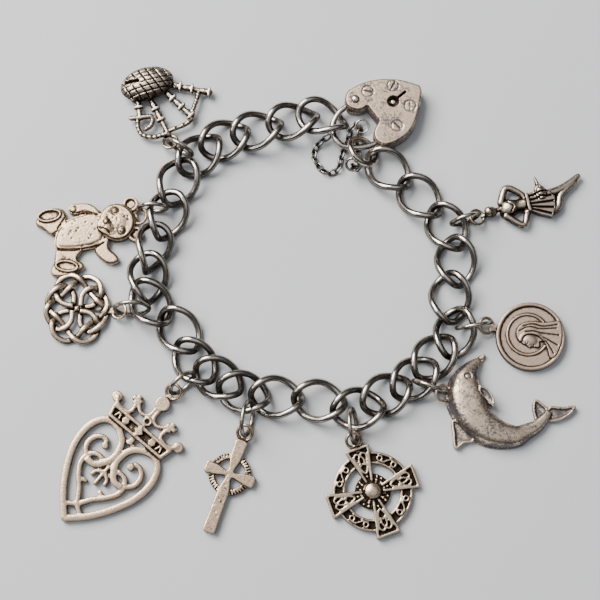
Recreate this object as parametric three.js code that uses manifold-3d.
// A silver charm bracelet lying on a table: a loose curb chain, a heart padlock clasp with its
// shackle, a fine safety chain and nine charms on jump rings. Millimetres, +Z up.
import * as THREE from 'three';
import { mergeVertices } from 'three/addons/utils/BufferGeometryUtils.js';
import Module from 'manifold-3d';

const wasm = await Module();
wasm.setup();

// Curb chain
const linkLength = 8.9;
const linkWidth = 6.9;
const linkWire = 1;
const linkTwist = -45; // degrees that each half of a link is twisted out of its plane
const linkSteps = 14;
const wireSides = 6;

// Jump rings
const ringRadius = 2.2; // to the middle of the wire
const wideRingRadius = 2.65;
const ringWire = 0.66;
const ringSteps = 12;
const ringSides = 5;
const wireGap = 0.24; // clearance between two wires that hang in each other
const slideStep = 0.04; // how finely a ring is slid along until it meets its neighbour

// End ring between the chain and the free end of the shackle
const endRingRadius = 2.45;
const endRingTilt = 40;
const endRingRise = 215; // direction of its high side

// Bail rings soldered to the charms
const bailRadius = 1.2;
const bailWire = 0.55;
const bailTilt = 25; // degrees that a bail rises from its charm
const bailSteps = 12;
const bailHeight = 1.2; // middle of a bail above the table

// Padlock clasp
const lockSize = 12; // from the rivet lobe to the point of the heart
const lockThickness = 3.2;
const lockX = 8.8;
const lockY = 32.4;
const shackleWire = 1;
const shackleReach = 7.6; // from the rivet to the far stretch of the shackle
const shackleGap = 0.2; // running clearance round the shackle and its eye
const shackleEnd = -57; // degrees round the rivet at which the shackle ends
const rivetRadius = 0.45;
const rivetGap = 0.1;
const rivetHead = 0.65;
const rivetHeadHeight = 0.25;
const eyeRadius = 1.1;
const screwRadius = 0.8;
const screwRise = 0.1;
const screwSlot = 0.2;
const keyholeRadius = 0.95;
const keyPinRadius = 0.36;
const keyholeDepth = 2;
const keySlotWidth = 0.4;

// Safety chain
const safetyDiameter = 0.8;
const safetySteps = 72;
const solderRingRadius = 1;
const solderRingSide = 235; // direction from the end ring
const solderRingDrop = 30; // degrees that it hangs below level
const solderRingWire = 0.5;

// Charms
const bearLength = 16.4;
const bearPlate = 0.9;
const pipesLength = 13;
const pipeRadius = 0.026 * pipesLength;
const heartLength = 25.4;
const heartWidth = 13.4;
const heartThickness = 1.1;
const heartWire = 0.8;
const crownThickness = 1.4;
const crownWire = 0.55;
const jewelRise = 0.2;
const knotRadius = 5.5;
const knotStrap = 0.72;
const knotThickness = 1.3;
const crossLength = 15;
const crossSpan = 8;
const crossThickness = 1.4;
const crossRing = 3.3;
const crossRingWall = 0.95;
const wheelRadius = 6.1;
const wheelWall = 1.85;
const wheelThickness = 1;
const wheelArm = 7.1;
const wheelBoss = 1.3;
const dolphinLength = 20;
const dolphinThickness = 3;
const medalRadius = 5.4;
const medalThickness = 1.3;
const medalRim = 0.6;
const medalRelief = 0.4;
const dancerLength = 17.5;
const dancerThickness = 2.4;

const silver = { color: 0xc9c4ba, roughness: 0.35, metalness: 1 };
const darkSilver = { color: 0x7d7973, roughness: 0.4, metalness: 1 };
const wireSilver = { color: 0x9c9892, roughness: 0.3, metalness: 1 };

// Middle of the end ring
const endRingPlace = { x: 10.0, y: 24.08 };

// Middles of the curb links, clockwise from the end ring round to the rivet end of the shackle.
// Roll is about the link's length, turn is added to the heading that its neighbours give it.
const route = [
  { x: 14.0, y: 21.1, roll: 0, turn: 0 },
  { x: 18.9, y: 16.6, roll: 0, turn: 0 },
  { x: 23.1, y: 11.7, roll: 0, turn: 0 },
  { x: 24.4, y: 6.2, roll: 0, turn: 0 },
  { x: 23.4, y: 0.4, roll: 0, turn: 0 },
  { x: 24.0, y: -5.2, roll: 0, turn: 0 },
  { x: 20.7, y: -9.0, roll: 0, turn: 0 },
  { x: 17.6, y: -12.4, roll: 0, turn: 0 },
  { x: 13.2, y: -14.9, roll: 0, turn: 0 },
  { x: 8.9, y: -17.1, roll: 0, turn: 0 },
  { x: 2.9, y: -15.9, roll: 0, turn: 0 },
  { x: -3.7, y: -15.3, roll: 0, turn: 0 },
  { x: -8.8, y: -14.6, roll: 0, turn: 0 },
  { x: -12.7, y: -12.4, roll: 0, turn: 0 },
  { x: -16.4, y: -9.8, roll: 0, turn: 0 },
  { x: -18.9, y: -4.9, roll: 0, turn: 0 },
  { x: -23.4, y: -0.5, roll: 0, turn: 5 },
  { x: -23.8, y: 3.4, roll: 25, turn: 0 },
  { x: -23.1, y: 8.0, roll: 45, turn: 0 },
  { x: -21.0, y: 13.5, roll: 25, turn: 0 },
  { x: -19.4, y: 19.07, roll: 12, turn: 0 },
  { x: -16.1, y: 23.7, roll: 0, turn: 0 },
  { x: -12.1, y: 26.2, roll: 0, turn: 0 },
  { x: -6.9, y: 27.7, roll: -10, turn: 0 },
  { x: -1.2, y: 29.2, roll: -15, turn: 0 },
  { x: 3.5, y: 29.6, roll: -20, turn: -25 },
];

// Where each charm hangs: the link by its place in the route, the spot on that link in degrees
// from its leading end and the way the charm lies. Its jump ring has the way it points, its roll
// from lying flat, its radius, and how far it is pulled out (1) or slack (below 0).
const hangers = [
  { charm: 'dancer', link: 2, spot: 85, lies: 16,
    ring: { heading: 18, roll: 90, radius: ringRadius, pull: 1 } },
  { charm: 'medal', link: 5, spot: 115, lies: -14,
    ring: { heading: 10, roll: 100, radius: wideRingRadius, pull: 0 } },
  { charm: 'dolphin', link: 7, spot: 105, lies: -20,
    ring: { heading: -20, roll: 96, radius: wideRingRadius, pull: -0.2 } },
  { charm: 'wheel_cross', link: 9, spot: 74, lies: -70,
    ring: { heading: -86, roll: 104, radius: wideRingRadius, pull: 0.5 } },
  { charm: 'plain_cross', link: 12, spot: 116, lies: -110,
    ring: { heading: -100, roll: 104, radius: wideRingRadius, pull: 0.95 } },
  { charm: 'crowned_heart', link: 14, spot: 112, lies: -130,
    ring: { heading: 220, roll: 105, radius: ringRadius, pull: 1 } },
  { charm: 'knot_roundel', link: 16, spot: 80, lies: 176,
    ring: { heading: 182, roll: 100, radius: wideRingRadius, pull: 1 } },
  { charm: 'teddy_bear', link: 19, spot: 85, lies: 180,
    ring: { heading: 180, roll: 90, radius: ringRadius, pull: -0.6 } },
  { charm: 'bagpipes', link: 21, spot: 112, lies: 115,
    ring: { heading: 150, roll: 90, radius: ringRadius, pull: 0.1 } },
];

// The safety chain's middle line, from the end ring's soldered ring to the last link
const safetyRoute = [
  [8.2, 21.1, 3.5], [8.4, 21.4, 2.9], [8.5, 21.5, 2.2], [8.7, 21.4, 1.4], [9.1, 21.5, 0.7],
  [9.5, 22.4, 0.45], [9.4, 23.4, 0.45], [9.2, 24.6, 0.45], [9, 26, 0.45], [9.3, 27.2, 0.45],
  [9.6, 28.1, 0.45], [9, 28.9, 0.45], [8.2, 28.2, 0.45], [7.8, 27.2, 0.45], [7.4, 26, 0.45],
  [6.9, 24.8, 0.45], [6.5, 23.4, 0.45], [6.2, 22, 0.45], [5.2, 21, 0.45], [3.8, 21.2, 0.45],
  [2.8, 22.3, 0.45], [2.2, 23.6, 0.45], [2.4, 24.9, 0.5], [3.2, 25.9, 0.8], [4.2, 26.6, 1.1],
];

const smallestEdge = 0.01; // finer detail than this is smoothed away where pieces are joined

const radians = THREE.MathUtils.degToRad;

class TwistedOval extends THREE.Curve {
  getPoint(t, target = new THREE.Vector3()) {
    const half = (linkLength - linkWire) / 2;
    const side = (linkWidth - linkWire) / 2;
    const angle = t * 2 * Math.PI;
    const across = side * Math.sin(angle);
    const twist = radians(linkTwist) * Math.cos(angle);
    return target.set(half * Math.cos(angle), across * Math.cos(twist), across * Math.sin(twist));
  }
}

class Circle extends THREE.Curve {
  constructor(radius) {
    super();
    this.radius = radius;
  }

  getPoint(t, target = new THREE.Vector3()) {
    const angle = t * 2 * Math.PI;
    return target.set(this.radius * Math.cos(angle), this.radius * Math.sin(angle), 0);
  }
}

function weld(geometry) {
  geometry.deleteAttribute('normal');
  geometry.deleteAttribute('uv');
  return mergeVertices(geometry, 1e-4);
}

function closedWire(curve, steps, diameter, sides) {
  return weld(new THREE.TubeGeometry(curve, steps, diameter / 2, sides, true));
}

function roundSection(radius, sides) {
  const section = new THREE.Shape();
  for (let i = 0; i < sides; i += 1) {
    const angle = (i + 0.5) * 2 * Math.PI / sides;
    const x = radius * Math.cos(angle);
    const y = radius * Math.sin(angle);
    if (i === 0) section.moveTo(x, y);
    else section.lineTo(x, y);
  }
  return section;
}

// A round rod along open points, [x, y, z] each
function rod(points, radius, sides, steps) {
  const places = points.map((p) => new THREE.Vector3(...p));
  const path = new THREE.CatmullRomCurve3(places, false, 'centripetal');
  const options = { steps, extrudePath: path, bevelEnabled: false };
  return weld(new THREE.ExtrudeGeometry(roundSection(radius, sides), options));
}

function prism(shape, bottom, top, curveSegments = 6) {
  const options = { depth: top - bottom, bevelEnabled: false, curveSegments };
  const geometry = new THREE.ExtrudeGeometry(shape, options);
  geometry.translate(0, 0, bottom);
  return weld(geometry);
}

function polygon(points) {
  return new THREE.Shape(points.map(([x, y]) => new THREE.Vector2(x, y)));
}

function ellipse(x, y, halfX, halfY, turn, bottom, top, sides = 16) {
  const outline = [];
  for (let i = 0; i < sides; i += 1) {
    const angle = i * 2 * Math.PI / sides;
    const u = halfX * Math.cos(angle);
    const v = halfY * Math.sin(angle);
    const c = Math.cos(radians(turn));
    const s = Math.sin(radians(turn));
    outline.push([x + u * c - v * s, y + u * s + v * c]);
  }
  return prism(polygon(outline), bottom, top);
}

function disc(x, y, radius, bottom, top, sides = 12) {
  return ellipse(x, y, radius, radius, 0, bottom, top, sides);
}

// A flat strap of even width along open points in the plane
function strap(points, width, bottom, top, steps) {
  const line = new THREE.SplineCurve(points.map(([x, y]) => new THREE.Vector2(x, y)));
  const left = [];
  const right = [];
  for (let i = 0; i <= steps; i += 1) {
    const p = line.getPoint(i / steps);
    const along = line.getTangent(i / steps);
    left.push([p.x - along.y * width / 2, p.y + along.x * width / 2]);
    right.unshift([p.x + along.y * width / 2, p.y - along.x * width / 2]);
  }
  return prism(polygon([...left, ...right]), bottom, top);
}

function ball(x, y, z, halfX, halfY, halfZ, sides = 12, rows = 8, turn = 0) {
  const geometry = new THREE.SphereGeometry(1, sides, rows);
  geometry.rotateX(Math.PI / 2);
  geometry.scale(halfX, halfY, halfZ);
  geometry.rotateZ(radians(turn));
  geometry.translate(x, y, z);
  return weld(geometry);
}

// A ring lying in the plane, its outer edge and its wall given
function band(x, y, outer, wall, bottom, top, sides) {
  const inner = disc(x, y, outer - wall, bottom - 1, top + 1, sides);
  return cut(disc(x, y, outer, bottom, top, sides), [inner]);
}

function toSolid(geometry) {
  return new wasm.Manifold(new wasm.Mesh({
    numProp: 3,
    vertProperties: new Float32Array(geometry.attributes.position.array),
    triVerts: new Uint32Array(geometry.index.array),
  }));
}

function toGeometry(solid) {
  const mesh = solid.simplify(smallestEdge).getMesh();
  const geometry = new THREE.BufferGeometry();
  geometry.setAttribute('position', new THREE.BufferAttribute(mesh.vertProperties, 3));
  geometry.setIndex(new THREE.BufferAttribute(mesh.triVerts, 1));
  return geometry;
}

function fuse(pieces) {
  return toGeometry(pieces.map(toSolid).reduce((sum, piece) => sum.add(piece)));
}

function cut(body, holes) {
  return toGeometry(holes.map(toSolid).reduce((rest, hole) => rest.subtract(hole), toSolid(body)));
}

// The bail ring at a charm's own origin, raised towards the chain along +Y
function bail() {
  const geometry = closedWire(new Circle(bailRadius), bailSteps, bailWire, ringSides);
  geometry.rotateX(radians(bailTilt));
  geometry.translate(0, 0, bailHeight);
  return geometry;
}

function scaled(points, size) {
  return points.map((p) => p.map((value) => value * size));
}

function mirrored(points) {
  return points.map(([x, ...rest]) => [-x, ...rest]);
}

function bearShape() {
  const L = bearLength;
  const top = bearPlate;
  const raised = [
    // columns: x, y, half widths, turn, and the height over the plate
    { x: 0.16, y: -0.58, halfX: 0.185, halfY: 0.265, turn: 5, rise: 0.35 },
    { x: 0.06, y: -0.22, halfX: 0.2, halfY: 0.2, turn: 0, rise: 0.6 },
    { x: 0.125, y: -0.31, halfX: 0.09, halfY: 0.1, turn: 0, rise: 0.9 },
    { x: -0.125, y: -0.085, halfX: 0.085, halfY: 0.085, turn: 0, rise: 0.2 },
    { x: 0.165, y: -0.04, halfX: 0.07, halfY: 0.07, turn: 0, rise: 0.2 },
    { x: -0.015, y: -0.89, halfX: 0.065, halfY: 0.12, turn: 20, rise: 0.5 },
    { x: 0.53, y: -0.66, halfX: 0.075, halfY: 0.15, turn: 8, rise: 0.5 },
  ];
  const limbs = [
    { points: [[0.0, -0.37], [-0.07, -0.43], [-0.09, -0.52], [-0.08, -0.645]], width: 0.09 },
    { points: [[0.28, -0.4], [0.37, -0.34], [0.43, -0.23]], width: 0.105 },
    { points: [[0.1, -0.7], [0.05, -0.85]], width: 0.17 },
    { points: [[0.3, -0.68], [0.5, -0.68]], width: 0.16 },
  ];
  const eyes = [[-0.045, -0.235], [0.15, -0.165]];
  const pieces = raised.map((r) => (
    ellipse(r.x * L, r.y * L, r.halfX * L, r.halfY * L, r.turn, 0, top + r.rise, 14)
  ));
  limbs.forEach((limb) => pieces.push(strap(scaled(limb.points, L), limb.width * L, 0, top + 0.2, 4)));
  eyes.forEach(([x, y]) => pieces.push(disc(x * L, y * L, 0.033 * L, top, top + 0.8, 8)));
  pieces.push(strap([[0, -bailRadius], [0, -0.12 * L]], bailWire, 0, top, 1));
  pieces.push(bail());
  return fuse(pieces);
}

// One drone or pipe of the bagpipes: a rod with collars at shares of its length
function pipe(from, to, collars, height) {
  const L = pipesLength;
  const radius = pipeRadius;
  const start = new THREE.Vector3(from[0] * L, from[1] * L, height);
  const end = new THREE.Vector3(to[0] * L, to[1] * L, height);
  const along = end.clone().sub(start);
  const up = new THREE.Vector3(0, 1, 0);
  const turn = new THREE.Quaternion().setFromUnitVectors(up, along.clone().normalize());
  const shaft = new THREE.CylinderGeometry(radius, radius, along.length(), 6).applyQuaternion(turn);
  const middle = start.clone().lerp(end, 0.5);
  const pieces = [weld(shaft.translate(middle.x, middle.y, middle.z))];
  collars.forEach((share) => {
    const ring = new THREE.CylinderGeometry(radius * 2, radius * 2, radius * 1.5, 7);
    const collar = ring.applyQuaternion(turn);
    const place = start.clone().lerp(end, share);
    pieces.push(weld(collar.translate(place.x, place.y, place.z)));
  });
  return pieces;
}

function pipesShape() {
  const L = pipesLength;
  const height = 0.085 * L;
  const bag = ball(-0.05 * L, -0.79 * L, 0.13 * L, 0.335 * L, 0.2 * L, 0.13 * L, 12, 8, -8);
  const window = ellipse(0.12 * L, -0.87 * L, 0.09 * L, 0.035 * L, -30, -1, L, 8);
  const cords = [
    [[-0.58, -0.43], [-0.48, -0.33], [-0.39, -0.22]],
    [[-0.38, -0.18], [-0.26, -0.13], [-0.04, -0.11]],
    [[0.24, -0.44], [0.285, -0.32], [0.26, -0.2], [0.16, -0.14], [0.0, -0.11]],
    [[0.08, -0.38], [0.13, -0.3], [0.25, -0.27]],
  ];
  const pieces = [
    cut(bag, [window]),
    ...pipe([-0.27, -0.69], [-0.72, -0.37], [0.27, 0.55, 0.97], height),
    ...pipe([-0.17, -0.68], [-0.38, -0.17], [0.35, 0.68], height),
    ...pipe([0.0, -0.68], [-0.02, -0.09], [0.38, 0.62], height),
    ...pipe([0.14, -0.68], [0.22, -0.42], [0.4], height),
    ...pipe([0.32, -0.48], [0.07, -0.4], [], height),
  ];
  cords.forEach((points) => {
    pieces.push(rod(points.map(([x, y]) => [x * L, y * L, height]), 0.85 * pipeRadius, 5, 5));
  });
  pieces.push(bail());
  return fuse(pieces);
}

// Half of the open heart's lines as shares of its width across and of its length along
const heartLines = [
  {
    width: heartWire,
    steps: 14,
    points: [
      [0.0, -1.0], [0.19, -0.9], [0.34, -0.79], [0.46, -0.65], [0.5, -0.525], [0.45, -0.425],
      [0.335, -0.378], [0.19, -0.39], [0.067, -0.44], [0.02, -0.53], [0.067, -0.6], [0.157, -0.642],
      [0.26, -0.642],
    ],
  },
  {
    width: heartWire * 0.8,
    steps: 4,
    points: [[0.36, -0.59], [0.365, -0.53], [0.305, -0.488], [0.22, -0.484], [0.195, -0.515]],
  },
  {
    width: heartWire * 0.8,
    steps: 5,
    points: [
      [0.0, -0.89], [0.097, -0.81], [0.21, -0.748], [0.285, -0.685], [0.285, -0.626], [0.216, -0.587],
      [0.12, -0.583],
    ],
  },
  { width: heartWire * 0.8, steps: 2, points: [[0.0, -0.885], [0.14, -0.93]] },
  { width: heartWire * 0.7, steps: 3, points: [[0.0, -0.59], [0.03, -0.65], [0.075, -0.68]] },
  { width: heartWire * 0.6, steps: 2, points: [[0.36, -0.59], [0.3, -0.626]] },
];

const crownLines = [
  { width: crownWire, steps: 1, points: [[0.0, -0.36], [0.385, -0.36]] },
  { width: crownWire, steps: 1, points: [[0.0, -0.3], [0.41, -0.3]] },
  { width: 0.9 * crownWire, steps: 1, points: [[0.385, -0.37], [0.42, -0.29]] },
  {
    width: 0.9 * crownWire,
    steps: 4,
    points: [[0.02, -0.12], [0.03, -0.2], [0.12, -0.225], [0.2, -0.2], [0.24, -0.165]],
  },
  {
    width: 0.9 * crownWire,
    steps: 4,
    points: [[0.24, -0.19], [0.22, -0.25], [0.3, -0.285], [0.4, -0.27], [0.45, -0.235]],
  },
  { width: 0.9 * crownWire, steps: 1, points: [[0.0, -0.3], [0.07, -0.22]] },
];

function heartShape() {
  const toSize = (points) => points.map(([x, y]) => [x * heartWidth, y * heartLength]);
  const pieces = [];
  [[heartLines, heartThickness], [crownLines, crownThickness]].forEach(([lines, top]) => {
    lines.forEach((line) => {
      const points = toSize(line.points);
      pieces.push(strap(points, line.width, 0, top, line.steps));
      pieces.push(strap(mirrored(points), line.width, 0, top, line.steps));
    });
  });
  const at = (x, y) => [x * heartWidth, y * heartLength];
  const top = crownThickness;
  const crossReach = 0.0635 * heartWidth;
  const crossBar = 0.052 * heartWidth;
  [-1, 1].forEach((side) => {
    pieces.push(disc(...at(side * 0.47, -0.24), 0.056 * heartWidth, 0, top, 8));
    pieces.push(disc(...at(side * 0.205, -0.322), 0.046 * heartWidth, 0, top + jewelRise, 6));
    const [x, y] = at(side * 0.255, -0.18);
    pieces.push(strap([[x - crossReach, y], [x + crossReach, y]], crossBar, 0, top, 1));
    pieces.push(strap([[x, y - crossReach], [x, y + crossReach]], crossBar, 0, top, 1));
    pieces.push(strap([at(side * 0.24, -0.195), [x, y]], crownWire, 0, top, 1));
    pieces.push(strap([at(side * 0.44, -0.24), at(side * 0.47, -0.24)], crownWire, 0, top, 1));
  });
  pieces.push(disc(...at(0, -0.095), 0.078 * heartWidth, 0, top, 10));
  pieces.push(strap([[0, -0.8 * bailRadius], at(0, -0.08)], bailWire * 1.4, 0.3, 1.1, 1));
  pieces.push(disc(...at(0, -0.322), 0.067 * heartWidth, 0, top + jewelRise, 4));
  pieces.push(disc(...at(0, -0.245), 0.037 * heartWidth, 0, top, 8));
  pieces.push(strap([at(0, -0.5), at(0, -0.68)], heartWire * 0.8, 0, heartThickness, 1));
  pieces.push(strap([at(0, -0.37), at(0, -0.45)], heartWire * 0.6, 0, heartThickness, 1));
  pieces.push(strap([at(-0.1, -0.4), at(0.1, -0.4)], heartWire * 0.8, 0, heartThickness, 1));
  pieces.push(bail());
  return fuse(pieces);
}

// One strap of the interlace, from the middle of the roundel round the rim and back
const knotPath = [
  [-0.07, 0.1], [-0.2, 0.105], [-0.38, 0.125], [-0.55, 0.23], [-0.63, 0.43], [-0.52, 0.64], [-0.33, 0.82],
  [-0.1, 0.87], [0.13, 0.75], [0.34, 0.5], [0.56, 0.28], [0.78, 0.1], [0.9, -0.1], [0.92, -0.33],
  [0.8, -0.56], [0.56, -0.66], [0.32, -0.6], [0.15, -0.44], [0.1, -0.25], [0.08, -0.08],
];

function knotShape() {
  const middleY = -bailRadius - knotRadius;
  const pieces = [];
  [[1, 1], [-1, 1], [1, -1], [-1, -1]].forEach(([flipX, flipY]) => {
    const points = knotPath.map(([x, y]) => [flipX * x * knotRadius, middleY + flipY * y * knotRadius]);
    pieces.push(strap(points, knotStrap, 0, knotThickness, 18));
  });
  pieces.push(disc(0, middleY, 0.1 * knotRadius, 0, 0.7 * knotThickness, 8));
  const stem = [[0, -0.8 * bailRadius], [0, middleY + 0.8 * knotRadius]];
  pieces.push(strap(stem, knotStrap, 0, knotThickness, 1));
  pieces.push(bail());
  return fuse(pieces);
}

// One arm of a cross from its middle, narrow at the waist and wide at its end
function crossArm(middle, heading, length, waist, end, bottom, top) {
  const c = Math.cos(radians(heading));
  const s = Math.sin(radians(heading));
  const corners = [[-waist / 2, -waist / 2], [length * 0.45, -end / 2], [length, -end / 2],
    [length, end / 2], [length * 0.45, end / 2], [-waist / 2, waist / 2]];
  const placed = corners.map(([u, v]) => [middle[0] + u * c - v * s, middle[1] + u * s + v * c]);
  return prism(polygon(placed), bottom, top);
}

function crossShape() {
  const upper = 0.37 * crossLength;
  const middle = [0, -bailRadius - upper];
  const wide = 0.24 * crossSpan;
  const waist = 0.1 * crossSpan;
  return fuse([
    band(...middle, crossRing, crossRingWall, 0.25, crossThickness - 0.25, 20),
    crossArm(middle, 90, upper, waist, wide * 0.95, 0, crossThickness),
    crossArm(middle, -90, crossLength - upper, waist, wide, 0, crossThickness),
    crossArm(middle, 0, crossSpan / 2, waist, wide * 0.85, 0, crossThickness),
    crossArm(middle, 180, crossSpan / 2, waist, wide * 0.85, 0, crossThickness),
    bail(),
  ]);
}

// A line of even width standing over a cross or wheel, given round its middle
function reliefLine(middle, heading, points, width, bottom, top, steps) {
  const c = Math.cos(radians(heading));
  const s = Math.sin(radians(heading));
  const placed = points.map(([u, v]) => [middle[0] + u * c - v * s, middle[1] + u * s + v * c]);
  return strap(placed, width, bottom, top, steps);
}

function wheelShape() {
  const middle = [0, -bailRadius - wheelArm];
  const line = 0.36;
  const top = wheelThickness + 0.3;
  const pieces = [
    band(...middle, wheelRadius, wheelWall, 0, wheelThickness, 20),
    band(...middle, wheelRadius, line, 0, top, 20),
    band(...middle, wheelRadius - wheelWall + line, line, 0, top, 20),
    disc(...middle, wheelBoss * 2, 0, top, 14),
    ball(...middle, top, wheelBoss, wheelBoss, 0.8, 12, 6),
  ];
  const near = 0.2 * wheelArm;
  const far = 0.27 * wheelArm;
  for (let k = 0; k < 4; k += 1) {
    const heading = 90 * k;
    const c = Math.cos(radians(heading));
    const s = Math.sin(radians(heading));
    const arm = [[near, -near / 2], [wheelArm, -far], [wheelArm, far], [near, near / 2]];
    const placed = arm.map(([u, v]) => [middle[0] + u * c - v * s, middle[1] + u * s + v * c]);
    pieces.push(prism(polygon(placed), 0, wheelThickness));
    const edge = [[near, near / 2], [wheelArm - line / 2, far - line / 2]];
    const edgeBack = edge.map(([u, v]) => [u, -v]);
    const rim = [[wheelArm - line / 2, -far + line / 2], [wheelArm - line / 2, far - line / 2]];
    const loop = [[0.42, -0.02], [0.6, 0.11], [0.84, 0.15], [0.86, 0.07], [0.7, -0.01]];
    const loopBack = loop.map(([u, v]) => [u, -v]);
    [edge, edgeBack, rim].forEach((points) => {
      pieces.push(reliefLine(middle, heading, points, line, 0, top, 1));
    });
    [loop, loopBack].forEach((points) => {
      pieces.push(reliefLine(middle, heading, scaled(points, wheelArm), line, 0, top, 4));
    });
  }
  pieces.push(bail());
  return fuse(pieces);
}

// Cross sections of the dolphin from snout to tail root: middle, half width and half height
const dolphinSections = [
  { x: 0.37, y: -0.185, half: 0.01, high: 0.3 },
  { x: 0.31, y: -0.16, half: 0.03, high: 0.45 },
  { x: 0.27, y: -0.135, half: 0.055, high: 0.7 },
  { x: 0.2, y: -0.125, half: 0.1, high: 0.9 },
  { x: 0.105, y: -0.14, half: 0.137, high: 1 },
  { x: 0.005, y: -0.19, half: 0.155, high: 1 },
  { x: -0.08, y: -0.265, half: 0.15, high: 1 },
  { x: -0.135, y: -0.355, half: 0.137, high: 1 },
  { x: -0.155, y: -0.445, half: 0.122, high: 1 },
  { x: -0.15, y: -0.545, half: 0.103, high: 0.95 },
  { x: -0.115, y: -0.64, half: 0.083, high: 0.85 },
  { x: -0.055, y: -0.715, half: 0.06, high: 0.7 },
  { x: 0.02, y: -0.77, half: 0.042, high: 0.6 },
  { x: 0.1, y: -0.805, half: 0.024, high: 0.45 },
];

// A closed body through oval cross sections that stand on the table
function loft(sections, sides) {
  const positions = [];
  const triangles = [];
  sections.forEach((s, i) => {
    const before = sections[Math.max(i - 1, 0)];
    const after = sections[Math.min(i + 1, sections.length - 1)];
    const along = new THREE.Vector2(after.x - before.x, after.y - before.y).normalize();
    for (let k = 0; k < sides; k += 1) {
      const angle = k * 2 * Math.PI / sides;
      const across = s.half * Math.cos(angle);
      const up = s.high * (1 + Math.sin(angle));
      positions.push(s.x - along.y * across, s.y + along.x * across, up);
    }
  });
  const last = sections.length - 1;
  for (let i = 0; i < last; i += 1) {
    for (let k = 0; k < sides; k += 1) {
      const a = i * sides + k;
      const b = i * sides + (k + 1) % sides;
      triangles.push(a, b, b + sides, a, b + sides, a + sides);
    }
  }
  for (let k = 1; k < sides - 1; k += 1) {
    triangles.push(0, k + 1, k);
    triangles.push(last * sides, last * sides + k, last * sides + k + 1);
  }
  const geometry = new THREE.BufferGeometry();
  geometry.setAttribute('position', new THREE.Float32BufferAttribute(positions, 3));
  geometry.setIndex(triangles);
  return geometry;
}

function dolphinShape() {
  const L = dolphinLength;
  const sections = dolphinSections.map((s) => ({
    x: s.x * L, y: s.y * L, half: s.half * L, high: s.high * dolphinThickness / 2,
  }));
  const fin = [[0.135, -0.235], [0.135, -0.3], [0.085, -0.37], [0.03, -0.39], [0.04, -0.3], [0.08, -0.24]];
  const dorsal = [
    [-0.14, -0.17], [-0.275, -0.185], [-0.365, -0.23], [-0.305, -0.27], [-0.255, -0.34], [-0.1, -0.3],
  ];
  const fluke = [
    [0.08, -0.785], [0.16, -0.77], [0.195, -0.695], [0.125, -0.7], [0.05, -0.755], [0.06, -0.8],
    [0.07, -0.86], [0.115, -0.905], [0.18, -0.965], [0.25, -0.99], [0.21, -0.91], [0.185, -0.82],
  ];
  return fuse([
    loft(sections, 10),
    prism(polygon(scaled(fin, L).reverse()), 0.8, 2),
    prism(polygon(scaled(dorsal, L)), 0.3, 1.1),
    prism(polygon(scaled(fluke, L).reverse()), 0.2, 1.1),
    disc(0.185 * L, -0.135 * L, 0.4, 1, dolphinThickness * 0.97, 8),
    strap([[0, -0.8 * bailRadius], [0, -0.1 * L]], bailWire * 1.4, 0.5, 1.1, 1),
    bail(),
  ]);
}

function medalShape() {
  const R = medalRadius;
  const y = -bailRadius - 0.5 - R;
  const field = medalThickness - 0.3;
  const raised = field + medalRelief;
  const veil = [
    [0.0, 0.6], [-0.3, 0.48], [-0.42, 0.2], [-0.2, 0.28], [0.02, 0.22], [0.1, -0.02], [0.0, -0.2],
    [-0.12, -0.34], [-0.42, -0.5], [-0.5, -0.78], [0.5, -0.78], [0.56, -0.4], [0.5, 0.1], [0.32, 0.46],
  ];
  const face = [
    [-0.36, 0.3], [-0.38, 0.14], [-0.43, 0.02], [-0.37, -0.02], [-0.37, -0.12], [-0.3, -0.18],
    [-0.14, -0.18], [-0.1, -0.34], [0.16, -0.34], [0.2, 0.3], [-0.1, 0.4],
  ];
  const toPlace = (points) => polygon(points.map(([u, v]) => [u * R, y + v * R]));
  return fuse([
    disc(0, y, R, 0, field, 36),
    band(0, y, R, medalRim, 0, medalThickness, 36),
    band(0, y + 0.12 * R, 0.62 * R, 0.05 * R, 0, field + 0.12, 24),
    prism(toPlace(veil), 0, raised),
    prism(toPlace(face), 0, raised - 0.12),
    strap([[0, -0.8 * bailRadius], [0, y + 0.95 * R]], bailWire * 1.6, 0.2, 1.1, 1),
    bail(),
  ]);
}

function dancerShape() {
  const L = dancerLength;
  const mid = dancerThickness / 2;
  const lift = (points, z) => points.map(([x, y]) => [x * L, y * L, z]);
  const kilt = [
    [-0.01, -0.48], [0.085, -0.54], [0.07, -0.7], [0.0, -0.73], [-0.1, -0.72], [-0.19, -0.66],
    [-0.11, -0.5],
  ];
  return fuse([
    ball(0.01 * L, -0.13 * L, mid, 0.05 * L, 0.06 * L, 0.05 * L, 8, 6),
    ball(0.008 * L, -0.35 * L, mid, 0.075 * L, 0.17 * L, 0.055 * L, 8, 6),
    prism(polygon(scaled(kilt, L)), 0.1, dancerThickness),
    disc(0.065 * L, -0.61 * L, 0.075 * L, 0.5, dancerThickness + 0.3, 10),
    prism(polygon(scaled([[0.08, -0.56], [0.21, -0.61], [0.09, -0.66]], L)), 0.6, dancerThickness - 0.3),
    rod(lift([[0.07, -0.23], [0.2, -0.33], [0.1, -0.44]], mid), 0.42, 6, 6),
    rod(lift([[-0.07, -0.25], [-0.2, -0.38], [-0.06, -0.44]], mid), 0.42, 6, 6),
    rod(lift([[0.04, -0.68], [0.04, -0.8], [0.12, -1.0]], mid), 0.4, 6, 6),
    rod(lift([[-0.13, -0.66], [-0.1, -0.74], [0.0, -0.79], [0.08, -0.94]], mid), 0.4, 6, 8),
    rod([[0, -0.8 * bailRadius, 0.8], [0.01 * L, -0.12 * L, mid]], 0.35, 6, 1),
    rod(lift([[0.01, -0.15], [0.008, -0.25]], mid), 0.5, 6, 2),
    bail(),
  ]);
}

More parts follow.
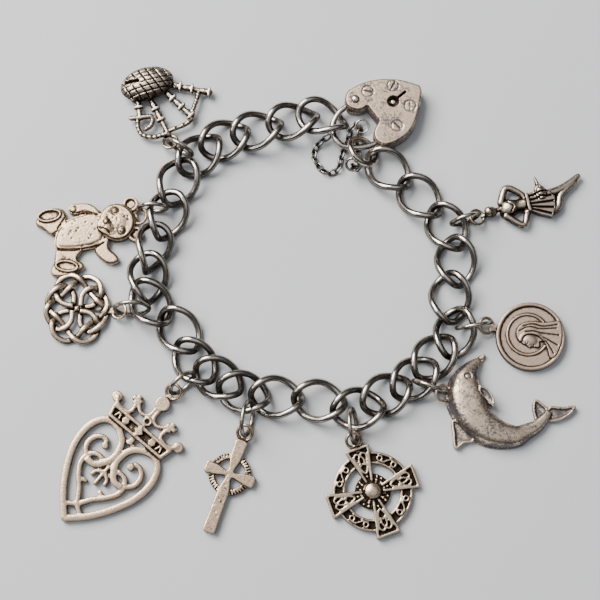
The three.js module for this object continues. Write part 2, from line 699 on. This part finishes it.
const charmShapes = {
  dancer: dancerShape,
  medal: medalShape,
  dolphin: dolphinShape,
  wheel_cross: wheelShape,
  plain_cross: crossShape,
  crowned_heart: heartShape,
  knot_roundel: knotShape,
  teddy_bear: bearShape,
  bagpipes: pipesShape,
};

// Each link's place: its heading comes from its neighbours and it rests on the table
function linkPlaces() {
  const curve = new TwistedOval();
  const corners = curve.getPoints(64);
  return route.map((spot, i) => {
    const before = route[i - 1] ?? spot;
    const after = route[i + 1] ?? spot;
    const heading = Math.atan2(after.y - before.y, after.x - before.x) + radians(spot.turn);
    const rotation = new THREE.Euler(radians(spot.roll), 0, heading, 'ZYX');
    const lowest = Math.min(...corners.map((p) => p.clone().applyEuler(rotation).z));
    const position = new THREE.Vector3(spot.x, spot.y, linkWire / 2 - lowest);
    return { position, rotation };
  });
}

// A curve's points after a turn and a move
function curvePoints(curve, count, rotation, position) {
  return curve.getPoints(count).map((p) => p.applyEuler(rotation).add(position));
}

// How far one wire can be slid along a direction before it comes within reach of another
function slide(moving, still, direction, reach) {
  let distance = 0;
  const isFree = (shift) => moving.every((m) => {
    const p = m.clone().addScaledVector(direction, shift);
    return still.every((q) => p.distanceToSquared(q) > reach ** 2);
  });
  while (distance < 10 && isFree(distance + slideStep)) distance += slideStep;
  return distance;
}

function towards(angle) {
  return new THREE.Vector3(Math.cos(radians(angle)), Math.sin(radians(angle)), 0);
}

// Where a jump ring lies on its link, and where the charm's own origin then comes
function hangerPlaces(hanger, link) {
  const linkCurve = new TwistedOval();
  const linkWirePoints = curvePoints(linkCurve, 72, link.rotation, link.position);
  const spot = linkCurve.getPoint(hanger.spot / 360).applyEuler(link.rotation).add(link.position);
  const { heading, roll, radius, pull } = hanger.ring;
  const rise = Math.sin(radians(roll));
  const height = radius * rise + ringWire / 2;
  const tilt = new THREE.Euler(radians(roll), 0, radians(heading), 'ZYX');
  const circle = new Circle(radius);
  const out = towards(heading);
  const start = spot.clone().setZ(height);
  const reach = (linkWire + ringWire) / 2 + wireGap;
  const taut = slide(curvePoints(circle, 48, tilt, start), linkWirePoints, out, reach);
  const ringMiddle = start.addScaledVector(out, taut * pull);

  const far = Math.sqrt(radius ** 2 - ((bailHeight - height) / rise) ** 2);
  const origin = ringMiddle.clone().setZ(0).addScaledVector(out, far);
  const turn = new THREE.Euler(0, 0, radians(hanger.lies + 90));
  const bailTurn = new THREE.Euler(radians(bailTilt), 0, turn.z, 'ZYX');
  const bailPoints = curvePoints(new Circle(bailRadius), 32, bailTurn, origin.clone().setZ(bailHeight));
  const ringPoints = curvePoints(circle, 48, tilt, ringMiddle);
  const away = towards(hanger.lies);
  origin.addScaledVector(away, slide(bailPoints, ringPoints, away, (bailWire + ringWire) / 2 + wireGap));
  return { ringMiddle, tilt, origin, turn };
}

function lockPoints(points) {
  return points.map(([x, y]) => new THREE.Vector2(x * lockSize, y * lockSize));
}

function lockOutline() {
  const outline = new THREE.Shape();
  const start = lockPoints([[0.158, -0.1]])[0];
  outline.moveTo(start.x, start.y);
  outline.splineThru(lockPoints([[0.09, -0.142], [0.0, -0.15], [-0.11, -0.1], [-0.145, 0.0], [-0.1, 0.12],
    [0.05, 0.215], [0.24, 0.275], [0.43, 0.29], [0.64, 0.27], [0.86, 0.2]]));
  outline.splineThru(lockPoints([[0.885, 0.12], [0.87, 0.0], [0.83, -0.2], [0.74, -0.42], [0.58, -0.565],
    [0.4, -0.635], [0.27, -0.58], [0.235, -0.45], [0.3, -0.3]]));
  return outline;
}

// The shackle's middle line in the padlock's frame: out of the rivet lobe, round and back
function shackleLine() {
  const z = lockThickness / 2;
  const free = [[-0.06, -0.02], [-0.21, -0.14], [-0.3, -0.31], [-0.285, -0.47], [-0.2, -0.59]];
  const points = free.map(([x, y]) => [x * lockSize, y * lockSize, z]);
  for (let angle = -103; angle <= shackleEnd + 1; angle += (shackleEnd + 103) / 5) {
    points.push([shackleReach * Math.cos(radians(angle)), shackleReach * Math.sin(radians(angle)), z]);
  }
  return points;
}

function shackleShape() {
  const z = lockThickness / 2;
  const half = shackleWire / 2;
  return cut(fuse([
    rod(shackleLine(), half, 8, 26),
    disc(0, 0, eyeRadius, z - half, z + half, 12),
  ]), [disc(0, 0, rivetRadius + shackleGap, -1, lockThickness + 1, 12)]);
}

function lockShape() {
  const z = lockThickness / 2;
  const top = lockThickness;
  const slot = shackleWire / 2 + shackleGap;
  const screws = [[0.165, 0.11], [0.5, 0.19], [0.725, -0.09], [0.55, -0.365]];
  const key = new THREE.Vector2(0.5, -0.03).multiplyScalar(lockSize);
  const keyEnd = new THREE.Vector2(0.7, 0.13).multiplyScalar(lockSize);
  const sector = [[0, 0]];
  for (let angle = 115; angle <= 255; angle += 20) {
    sector.push([lockSize * 0.3 * Math.cos(radians(angle)), lockSize * 0.3 * Math.sin(radians(angle))]);
  }
  const body = fuse([
    prism(lockOutline(), 0, top, 3),
    ...screws.map(([x, y]) => disc(x * lockSize, y * lockSize, screwRadius, top - 1, top + screwRise, 12)),
  ]);
  const tunnel = [];
  for (let angle = -85; angle <= shackleEnd + 4; angle += 4) {
    tunnel.push([shackleReach * Math.cos(radians(angle)), shackleReach * Math.sin(radians(angle)), z]);
  }
  const slots = screws.map(([x, y], i) => {
    const across = [Math.cos(1.1 * i), Math.sin(1.1 * i)];
    const reach = screwRadius * 0.8;
    return strap([
      [x * lockSize - across[0] * reach, y * lockSize - across[1] * reach],
      [x * lockSize + across[0] * reach, y * lockSize + across[1] * reach],
    ], screwSlot, top - 0.1, top + 1, 1);
  });
  const well = fuse([
    disc(key.x, key.y, keyholeRadius, top - keyholeDepth, top + 1, 14),
    strap([[key.x, key.y], [keyEnd.x, keyEnd.y]], keySlotWidth, top - keyholeDepth, top + 1, 1),
  ]);
  return fuse([
    cut(body, [
      disc(0, 0, rivetRadius + rivetGap, -1, top + 1, 12),
      disc(0, 0, eyeRadius + shackleGap, z - slot, z + slot, 16),
      prism(polygon(sector), z - slot, z + slot),
      rod(tunnel, slot, 10, 10),
      well,
      ...slots,
    ]),
    disc(key.x, key.y, keyPinRadius, top - keyholeDepth - 0.3, top - 0.3, 8),
  ]);
}

function rivetShape() {
  const foot = 0.1;
  const top = lockThickness;
  const profile = [
    [0, foot], [rivetRadius, foot], [rivetRadius, top + rivetGap], [rivetHead, top + rivetGap],
    [rivetHead * 0.75, top + rivetHeadHeight], [0, top + rivetHeadHeight + rivetGap],
  ];
  const geometry = new THREE.LatheGeometry(profile.map(([x, y]) => new THREE.Vector2(x, y)), 12);
  return weld(geometry.rotateX(Math.PI / 2));
}

const group = new THREE.Group();

function add(name, geometry, look, position, rotation) {
  geometry.computeVertexNormals();
  const mesh = new THREE.Mesh(geometry, new THREE.MeshStandardMaterial(look));
  mesh.name = name;
  if (position) mesh.position.copy(position);
  if (rotation) mesh.rotation.copy(rotation);
  group.add(mesh);
  return mesh;
}

// The end ring with the small ring that is soldered to its high side and hangs down from there
function addEndRing() {
  const ring = closedWire(new Circle(endRingRadius), linkSteps, linkWire, wireSides);
  const tie = closedWire(new Circle(solderRingRadius), ringSteps, solderRingWire, ringSides);
  const out = towards(solderRingSide - endRingRise);
  tie.translate(solderRingRadius + linkWire * 0.3, 0, 0);
  tie.rotateY(radians(endRingTilt + solderRingDrop));
  tie.rotateZ(radians(solderRingSide - endRingRise));
  tie.translate(out.x * endRingRadius, out.y * endRingRadius, 0);
  const tilt = new THREE.Euler(0, radians(-endRingTilt), radians(endRingRise), 'ZYX');
  const height = endRingRadius * Math.sin(radians(endRingTilt)) + linkWire / 2;
  const place = new THREE.Vector3(endRingPlace.x, endRingPlace.y, height);
  add('end_ring', fuse([ring, tie]), wireSilver, place, tilt);
}

function addChain(places) {
  places.forEach((place, i) => {
    const link = closedWire(new TwistedOval(), linkSteps, linkWire, wireSides);
    add(`chain_link_${String(i + 1).padStart(2, '0')}`, link, wireSilver, place.position, place.rotation);
  });
}

function addCharms(places) {
  hangers.forEach((hanger) => {
    const { ringMiddle, tilt, origin, turn } = hangerPlaces(hanger, places[hanger.link]);
    const ring = closedWire(new Circle(hanger.ring.radius), ringSteps, ringWire, ringSides);
    add(`jump_ring_${hanger.charm}`, ring, wireSilver, ringMiddle, tilt);
    add(`charm_${hanger.charm}`, charmShapes[hanger.charm](), silver, origin, turn);
  });
}

function addClasp() {
  const place = new THREE.Vector3(lockX, lockY, 0);
  add('padlock_body', lockShape(), silver, place);
  add('padlock_rivet', rivetShape(), darkSilver, place);
  add('padlock_shackle', shackleShape(), wireSilver, place);
}

function addSafetyChain() {
  add('safety_chain', rod(safetyRoute, safetyDiameter / 2, 6, safetySteps), darkSilver);
}

const places = linkPlaces();
addEndRing();
addChain(places);
addCharms(places);
addClasp();
addSafetyChain();

// The origin is at the middle of the bounding box, on the table
const box = new THREE.Box3().setFromObject(group, true);
const middle = box.getCenter(new THREE.Vector3());
group.children.forEach((mesh) => mesh.position.sub(new THREE.Vector3(middle.x, middle.y, box.min.z)));

export default group;
